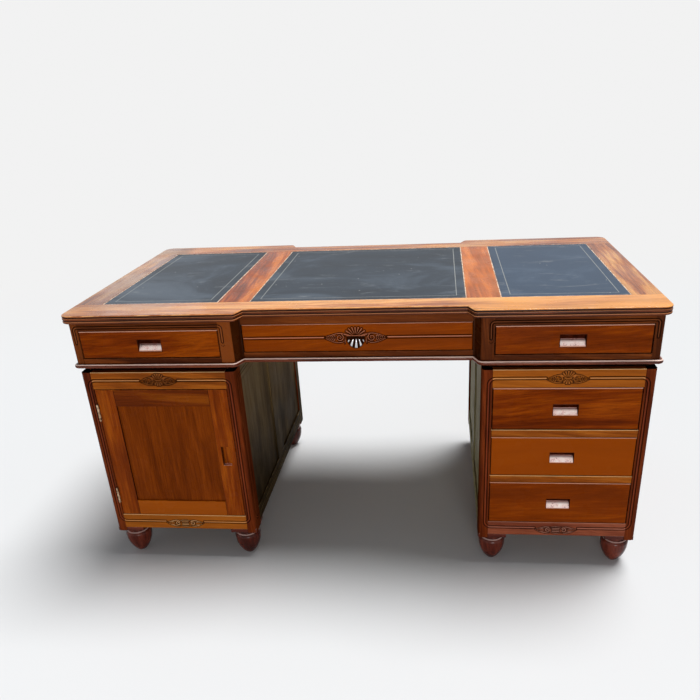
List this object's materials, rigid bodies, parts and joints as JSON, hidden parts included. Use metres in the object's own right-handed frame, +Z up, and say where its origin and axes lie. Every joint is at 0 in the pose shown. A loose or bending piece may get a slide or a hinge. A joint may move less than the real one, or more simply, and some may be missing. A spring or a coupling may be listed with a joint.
{
  "type": "partners desk",
  "caption": "Pedestal partners desk with leather-lined breakfront top, frieze and pedestal drawers and cupboards on both faces, on turned feet.",
  "frame": {"origin": "on the floor, under the middle of the top", "axes": "+X to the right along the length, -Y out of the front face, +Z up"},
  "size_m": [1.55, 0.8, 0.78],
  "materials": {
    "top_border_wood": "glossy french polish, reddish-brown hardwood",
    "cross_strip_wood": "glossy french polish, redder",
    "frame_wood": "glossy french polish",
    "post_wood": "glossy french polish, darker",
    "panel_wood": "glossy french polish",
    "door_wood": "glossy french polish",
    "drawer_front_wood": "glossy french polish",
    "drawer_lining_wood": "bare hardwood",
    "hidden_wood": "bare hardwood",
    "foot_wood": "glossy french polish, near-black red",
    "desk_leather": "worn satin hide",
    "hinge_brass": "dull polished"
  },
  "bodies": {
    "root": {"top_front_border": "top_border_wood", "top_back_border": "top_border_wood", "top_end_borders": "top_border_wood", "top_cross_strips": "cross_strip_wood", "top_core": "hidden_wood", "leather_left": "desk_leather", "leather_middle": "desk_leather", "leather_right": "desk_leather", "frieze_front_frame": "frame_wood", "frieze_back_frame": "frame_wood", "frieze_end_panels": "frame_wood", "frieze_partitions": "hidden_wood", "frieze_floor_board": "hidden_wood", "frieze_drawer_runners": "hidden_wood", "frieze_bead_moulding": "frame_wood", "left_pedestal_posts": "post_wood", "right_pedestal_posts": "post_wood", "left_pedestal_side_frames": "post_wood", "right_pedestal_side_frames": "post_wood", "left_pedestal_side_panels": "panel_wood", "right_pedestal_side_panels": "panel_wood", "left_pedestal_face_rails": "frame_wood", "right_pedestal_face_rails": "frame_wood", "left_pedestal_boards": "hidden_wood", "right_pedestal_boards": "hidden_wood", "pedestal_drawer_runners": "hidden_wood", "pedestal_battens": "foot_wood", "foot_blocks": "foot_wood", "turned_feet": "foot_wood", "fixed_hinge_leaves_and_pins": "hinge_brass"},
    "front_frieze_left_drawer": {"front_frieze_left_drawer_front": "drawer_front_wood", "front_frieze_left_drawer_box": "drawer_lining_wood"},
    "front_frieze_middle_drawer": {"front_frieze_middle_drawer_front": "drawer_front_wood", "front_frieze_middle_drawer_box": "drawer_lining_wood"},
    "front_frieze_right_drawer": {"front_frieze_right_drawer_front": "drawer_front_wood", "front_frieze_right_drawer_box": "drawer_lining_wood"},
    "front_pedestal_upper_drawer": {"front_pedestal_upper_drawer_front": "drawer_front_wood", "front_pedestal_upper_drawer_box": "drawer_lining_wood"},
    "front_pedestal_middle_drawer": {"front_pedestal_middle_drawer_front": "drawer_front_wood", "front_pedestal_middle_drawer_box": "drawer_lining_wood"},
    "front_pedestal_lower_drawer": {"front_pedestal_lower_drawer_front": "drawer_front_wood", "front_pedestal_lower_drawer_box": "drawer_lining_wood"},
    "back_frieze_left_drawer": {"back_frieze_left_drawer_front": "drawer_front_wood", "back_frieze_left_drawer_box": "drawer_lining_wood"},
    "back_frieze_middle_drawer": {"back_frieze_middle_drawer_front": "drawer_front_wood", "back_frieze_middle_drawer_box": "drawer_lining_wood"},
    "back_frieze_right_drawer": {"back_frieze_right_drawer_front": "drawer_front_wood", "back_frieze_right_drawer_box": "drawer_lining_wood"},
    "back_pedestal_upper_drawer": {"back_pedestal_upper_drawer_front": "drawer_front_wood", "back_pedestal_upper_drawer_box": "drawer_lining_wood"},
    "back_pedestal_middle_drawer": {"back_pedestal_middle_drawer_front": "drawer_front_wood", "back_pedestal_middle_drawer_box": "drawer_lining_wood"},
    "back_pedestal_lower_drawer": {"back_pedestal_lower_drawer_front": "drawer_front_wood", "back_pedestal_lower_drawer_box": "drawer_lining_wood"},
    "front_door": {"front_door_frame": "door_wood", "front_door_panel": "panel_wood", "front_door_hinge_leaves": "hinge_brass"},
    "back_door": {"back_door_frame": "door_wood", "back_door_panel": "panel_wood", "back_door_hinge_leaves": "hinge_brass"}
  },
  "joints": [
    {"name": "front_frieze_left_drawer_slide", "type": "slide", "parent": "root", "child": "front_frieze_left_drawer", "axis": [0, -1, 0], "range_m": [0, 0.28]},
    {"name": "front_frieze_middle_drawer_slide", "type": "slide", "parent": "root", "child": "front_frieze_middle_drawer", "axis": [0, -1, 0], "range_m": [0, 0.24]},
    {"name": "front_frieze_right_drawer_slide", "type": "slide", "parent": "root", "child": "front_frieze_right_drawer", "axis": [0, -1, 0], "range_m": [0, 0.28]},
    {"name": "front_pedestal_upper_drawer_slide", "type": "slide", "parent": "root", "child": "front_pedestal_upper_drawer", "axis": [0, -1, 0], "range_m": [0, 0.28]},
    {"name": "front_pedestal_middle_drawer_slide", "type": "slide", "parent": "root", "child": "front_pedestal_middle_drawer", "axis": [0, -1, 0], "range_m": [0, 0.28]},
    {"name": "front_pedestal_lower_drawer_slide", "type": "slide", "parent": "root", "child": "front_pedestal_lower_drawer", "axis": [0, -1, 0], "range_m": [0, 0.28]},
    {"name": "back_frieze_left_drawer_slide", "type": "slide", "parent": "root", "child": "back_frieze_left_drawer", "axis": [0, 1, 0], "range_m": [0, 0.28]},
    {"name": "back_frieze_middle_drawer_slide", "type": "slide", "parent": "root", "child": "back_frieze_middle_drawer", "axis": [0, 1, 0], "range_m": [0, 0.24]},
    {"name": "back_frieze_right_drawer_slide", "type": "slide", "parent": "root", "child": "back_frieze_right_drawer", "axis": [0, 1, 0], "range_m": [0, 0.28]},
    {"name": "back_pedestal_upper_drawer_slide", "type": "slide", "parent": "root", "child": "back_pedestal_upper_drawer", "axis": [0, 1, 0], "range_m": [0, 0.28]},
    {"name": "back_pedestal_middle_drawer_slide", "type": "slide", "parent": "root", "child": "back_pedestal_middle_drawer", "axis": [0, 1, 0], "range_m": [0, 0.28]},
    {"name": "back_pedestal_lower_drawer_slide", "type": "slide", "parent": "root", "child": "back_pedestal_lower_drawer", "axis": [0, 1, 0], "range_m": [0, 0.28]},
    {"name": "front_door_hinge", "type": "hinge", "parent": "root", "child": "front_door", "pos_m": [-0.73075, -0.385, 0.3575], "axis": [0, 0, -1], "range_deg": [0, 170]},
    {"name": "back_door_hinge", "type": "hinge", "parent": "root", "child": "back_door", "pos_m": [0.73075, 0.385, 0.3575], "axis": [0, 0, -1], "range_deg": [0, 170]}
  ]
}
